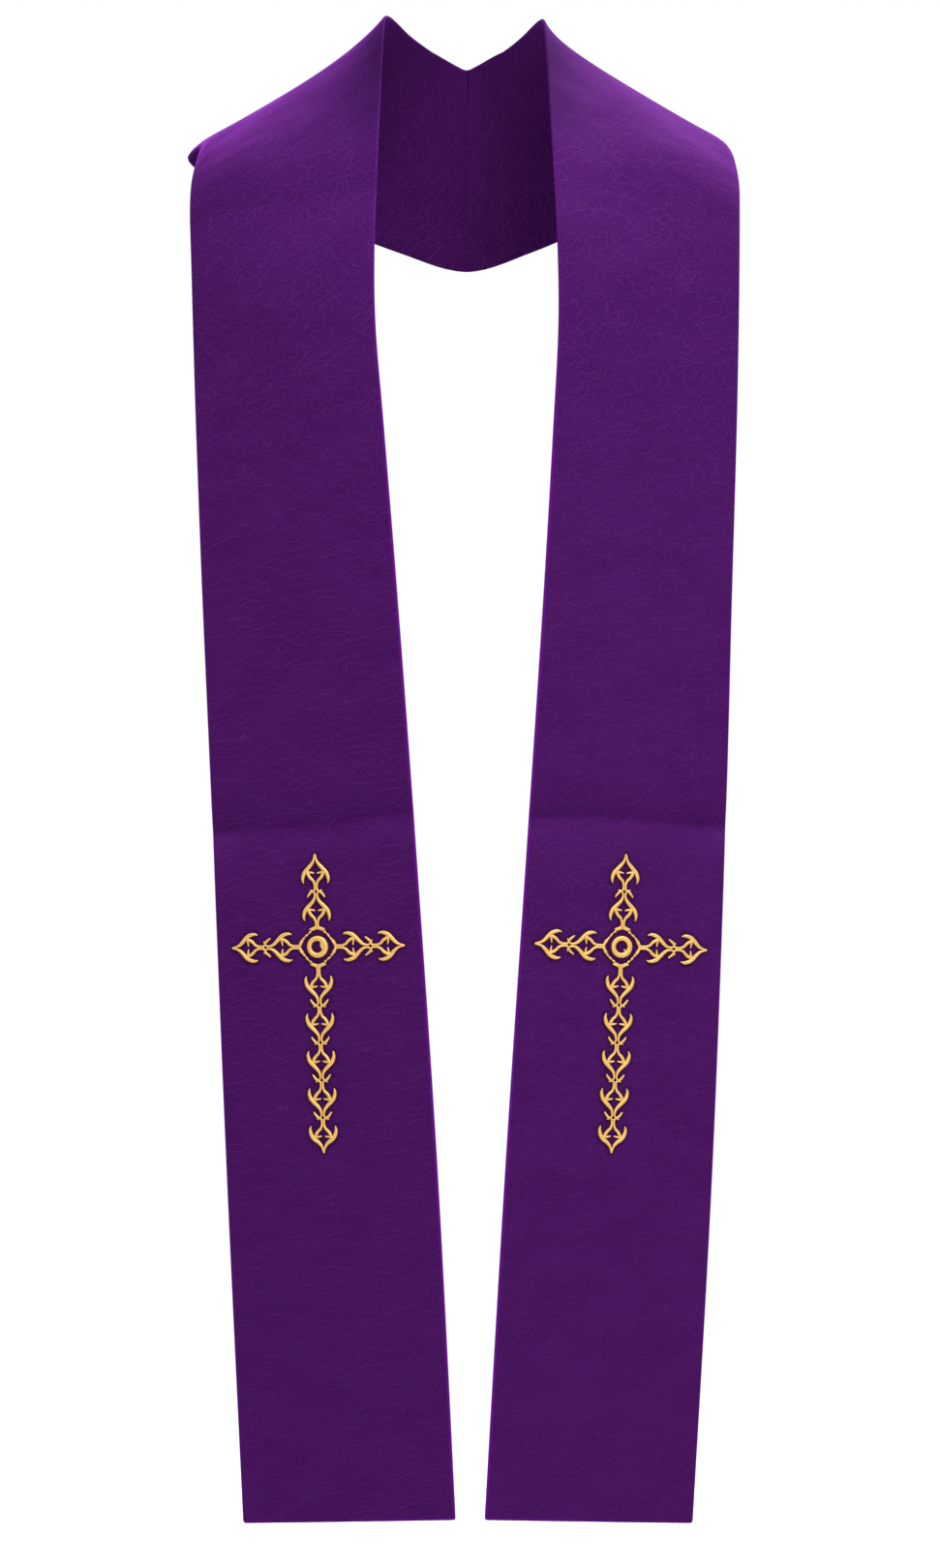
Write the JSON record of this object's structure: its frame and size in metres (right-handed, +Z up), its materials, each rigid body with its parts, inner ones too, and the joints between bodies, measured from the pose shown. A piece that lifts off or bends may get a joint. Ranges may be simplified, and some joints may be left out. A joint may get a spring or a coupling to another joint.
{
  "type": "worn clerical stole",
  "caption": "Long embroidered cloth band for clergy, as worn: it hangs from both shoulders down the front, with a raised cross near each end.",
  "frame": {"origin": "centre of the neck opening, level with the neck points of the shoulders, where the wearer's neck holds the stole", "axes": "+Z up, -Y towards the front where the two ends hang, +X towards the wearer's left"},
  "size_m": [0.4277, 0.2261, 1.1569],
  "materials": {
    "cloth": "matt violet cloth with a fine weave and a crinkled ground",
    "gold_thread": "gold satin-stitch embroidery"
  },
  "bodies": {
    "root": {"band_right": "cloth", "band_left": "cloth", "cross_right": "gold_thread", "cross_left": "gold_thread", "ring_right": "gold_thread", "ring_left": "gold_thread"}
  },
  "joints": []
}
